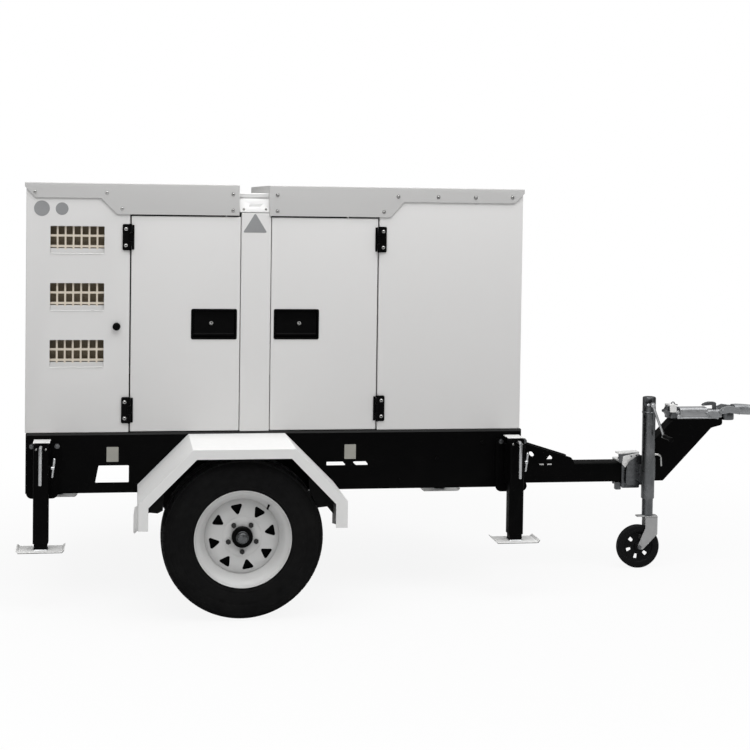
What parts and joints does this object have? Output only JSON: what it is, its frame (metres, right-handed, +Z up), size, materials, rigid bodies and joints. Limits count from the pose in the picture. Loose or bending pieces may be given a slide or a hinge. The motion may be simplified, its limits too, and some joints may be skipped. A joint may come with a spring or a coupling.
{
  "type": "towable diesel generator",
  "caption": "Sound-proofed diesel generating set on a skid base, carried by a single-axle trailer with fenders, corner legs, a jockey wheel and a raised ball coupling.",
  "frame": {"origin": "on the ground, at the centre of the overall box, standing on its tyres and jockey wheel", "axes": "+X towards the tow coupling, -Y the side with the stop knob and the jockey wheel, +Z up"},
  "size_m": [3.431, 1.74, 1.733],
  "materials": {
    "canopy_paint": "satin warm light grey powder coat",
    "white_paint": "white gloss paint",
    "black_paint": "satin black paint",
    "tyre": "matt black tyre rubber",
    "solid_rubber": "solid black rubber",
    "zinc": "galvanised steel",
    "black_plastic": "black moulded plastic",
    "cast_aluminium": "painted cast aluminium"
  },
  "bodies": {
    "trailer": {"base_frame": "black_paint", "fuel_tank": "black_plastic", "drawbar": "black_paint", "gooseneck": "black_paint", "coupling_body": "zinc", "axle_beam": "black_paint", "fender_near": "white_paint", "fender_far": "white_paint", "panel_rear_near": "canopy_paint", "panel_rear_far": "canopy_paint", "panel_front_near": "canopy_paint", "panel_front_far": "canopy_paint", "centre_frame": "canopy_paint", "end_rear": "canopy_paint", "end_front": "canopy_paint", "roof_rear": "canopy_paint", "roof_front": "canopy_paint", "hinge_rear_near": "black_paint", "hinge_rear_far": "black_paint", "hinge_front_near": "black_paint", "hinge_front_far": "black_paint", "leg_bracket_rear_near": "black_paint", "leg_bracket_rear_far": "black_paint", "leg_bracket_front_near": "black_paint", "leg_bracket_front_far": "black_paint", "jockey_clamp": "zinc", "engine": "cast_aluminium", "alternator": "cast_aluminium", "radiator": "cast_aluminium", "muffler": "cast_aluminium", "battery": "black_plastic", "control_panel": "cast_aluminium"},
    "wheel_near": {"tyre_near": "tyre", "rim_near": "white_paint"},
    "wheel_far": {"tyre_far": "tyre", "rim_far": "white_paint"},
    "door_rear_near": {"door_rear_near": "canopy_paint"},
    "latch_rear_near": {"latch_rear_near": "black_plastic"},
    "door_rear_far": {"door_rear_far": "canopy_paint"},
    "latch_rear_far": {"latch_rear_far": "black_plastic"},
    "door_front_near": {"door_front_near": "canopy_paint"},
    "latch_front_near": {"latch_front_near": "black_plastic"},
    "door_front_far": {"door_front_far": "canopy_paint"},
    "latch_front_far": {"latch_front_far": "black_plastic"},
    "leg_rear_near": {"leg_inner_rear_near": "zinc"},
    "clamp_rear_near": {"leg_clamp_rear_near": "zinc"},
    "leg_rear_far": {"leg_inner_rear_far": "zinc"},
    "clamp_rear_far": {"leg_clamp_rear_far": "zinc"},
    "leg_front_near": {"leg_inner_front_near": "zinc"},
    "clamp_front_near": {"leg_clamp_front_near": "zinc"},
    "leg_front_far": {"leg_inner_front_far": "zinc"},
    "clamp_front_far": {"leg_clamp_front_far": "zinc"},
    "jockey_tube": {"jockey_outer": "zinc"},
    "jockey_stem": {"jockey_inner": "zinc"},
    "jockey_castor": {"jockey_fork": "zinc"},
    "jockey_roller": {"jockey_wheel": "solid_rubber"},
    "crank": {"jockey_crank": "zinc"},
    "coupling_handle": {"coupling_handle": "zinc"},
    "fan": {"fan": "black_plastic"},
    "stop_knob": {"stop_knob": "black_plastic"}
  },
  "joints": [
    {"name": "wheel_near_spin", "type": "hinge", "parent": "trailer", "child": "wheel_near", "pos_m": [-0.8145, -0.752, 0.32396], "axis": [0, 1, 0], "continuous": true},
    {"name": "wheel_far_spin", "type": "hinge", "parent": "trailer", "child": "wheel_far", "pos_m": [-0.8145, 0.752, 0.32396], "axis": [0, 1, 0], "continuous": true},
    {"name": "door_rear_near_swing", "type": "hinge", "parent": "trailer", "child": "door_rear_near", "pos_m": [-1.265, -0.4575, 1.149], "axis": [0, 0, -1], "range_deg": [0, 115]},
    {"name": "latch_rear_near_tip", "type": "hinge", "parent": "door_rear_near", "child": "latch_rear_near", "pos_m": [-0.9155, -0.444, 1.201], "axis": [-1, 0, 0], "range_deg": [0, 40], "stiffness_Nm_per_rad": 0.6, "springref_deg": -20.05},
    {"name": "door_rear_far_swing", "type": "hinge", "parent": "trailer", "child": "door_rear_far", "pos_m": [-1.265, 0.4575, 1.149], "axis": [0, 0, 1], "range_deg": [0, 115]},
    {"name": "latch_rear_far_tip", "type": "hinge", "parent": "door_rear_far", "child": "latch_rear_far", "pos_m": [-0.9155, 0.444, 1.201], "axis": [1, 0, 0], "range_deg": [0, 40], "stiffness_Nm_per_rad": 0.6, "springref_deg": -20.05},
    {"name": "door_front_near_swing", "type": "hinge", "parent": "trailer", "child": "door_front_near", "pos_m": [-0.219, -0.4575, 1.149], "axis": [0, 0, 1], "range_deg": [0, 115]},
    {"name": "latch_front_near_tip", "type": "hinge", "parent": "door_front_near", "child": "latch_front_near", "pos_m": [-0.5685, -0.444, 1.201], "axis": [-1, 0, 0], "range_deg": [0, 40], "stiffness_Nm_per_rad": 0.6, "springref_deg": -20.05},
    {"name": "door_front_far_swing", "type": "hinge", "parent": "trailer", "child": "door_front_far", "pos_m": [-0.219, 0.4575, 1.149], "axis": [0, 0, -1], "range_deg": [0, 115]},
    {"name": "latch_front_far_tip", "type": "hinge", "parent": "door_front_far", "child": "latch_front_far", "pos_m": [-0.5685, 0.444, 1.201], "axis": [1, 0, 0], "range_deg": [0, 40], "stiffness_Nm_per_rad": 0.6, "springref_deg": -20.05},
    {"name": "leg_rear_near_drop", "type": "slide", "parent": "trailer", "child": "leg_rear_near", "axis": [0, 0, -1], "range_m": [0, 0.231]},
    {"name": "clamp_rear_near_turn", "type": "hinge", "parent": "trailer", "child": "clamp_rear_near", "pos_m": [-1.5865, -0.538, 0.566], "axis": [1, 0, 0], "range_deg": [0, 360]},
    {"name": "leg_rear_far_drop", "type": "slide", "parent": "trailer", "child": "leg_rear_far", "axis": [0, 0, -1], "range_m": [0, 0.25]},
    {"name": "clamp_rear_far_turn", "type": "hinge", "parent": "trailer", "child": "clamp_rear_far", "pos_m": [-1.5635, 0.538, 0.566], "axis": [1, 0, 0], "range_deg": [0, 360]},
    {"name": "leg_front_near_drop", "type": "slide", "parent": "trailer", "child": "leg_front_near", "axis": [0, 0, -1], "range_m": [0, 0.231]},
    {"name": "clamp_front_near_turn", "type": "hinge", "parent": "trailer", "child": "clamp_front_near", "pos_m": [0.4015, -0.538, 0.566], "axis": [1, 0, 0], "range_deg": [0, 360]},
    {"name": "leg_front_far_drop", "type": "slide", "parent": "trailer", "child": "leg_front_far", "axis": [0, 0, -1], "range_m": [0, 0.25]},
    {"name": "clamp_front_far_turn", "type": "hinge", "parent": "trailer", "child": "clamp_front_far", "pos_m": [0.2975, 0.538, 0.566], "axis": [1, 0, 0], "range_deg": [0, 360]},
    {"name": "jockey_swing", "type": "hinge", "parent": "trailer", "child": "jockey_tube", "pos_m": [1.0455, -0.0703, 0.43], "axis": [0, 1, 0], "range_deg": [0, 90]},
    {"name": "jockey_extend", "type": "slide", "parent": "jockey_tube", "child": "jockey_stem", "axis": [0, 0, -1], "range_m": [-0.07, 0.15]},
    {"name": "jockey_swivel", "type": "hinge", "parent": "jockey_stem", "child": "jockey_castor", "pos_m": [1.1105, -0.125, 0.242], "axis": [0, 0, 1], "continuous": true},
    {"name": "jockey_spin", "type": "hinge", "parent": "jockey_castor", "child": "jockey_roller", "pos_m": [1.0665, -0.125, 0.09808], "axis": [0, 1, 0], "continuous": true},
    {"name": "crank_turn", "type": "hinge", "parent": "jockey_tube", "child": "crank", "pos_m": [1.1105, -0.155, 0.757], "axis": [0, -1, 0], "range_deg": [-2521, 5401]},
    {"name": "coupling_lift", "type": "hinge", "parent": "trailer", "child": "coupling_handle", "pos_m": [1.5035, 0, 0.708], "axis": [0, -1, 0], "range_deg": [0, 50]},
    {"name": "fan_spin", "type": "hinge", "parent": "trailer", "child": "fan", "pos_m": [-0.1765, 0, 0.985], "axis": [1, 0, 0], "continuous": true},
    {"name": "stop_push", "type": "slide", "parent": "trailer", "child": "stop_knob", "axis": [0, 1, 0], "range_m": [0, 0.006], "stiffness_N_per_m": 400}
  ],
  "couplings": [
    {"joint": "crank_turn", "follows": "jockey_extend", "rad_per_m": 628.32}
  ]
}
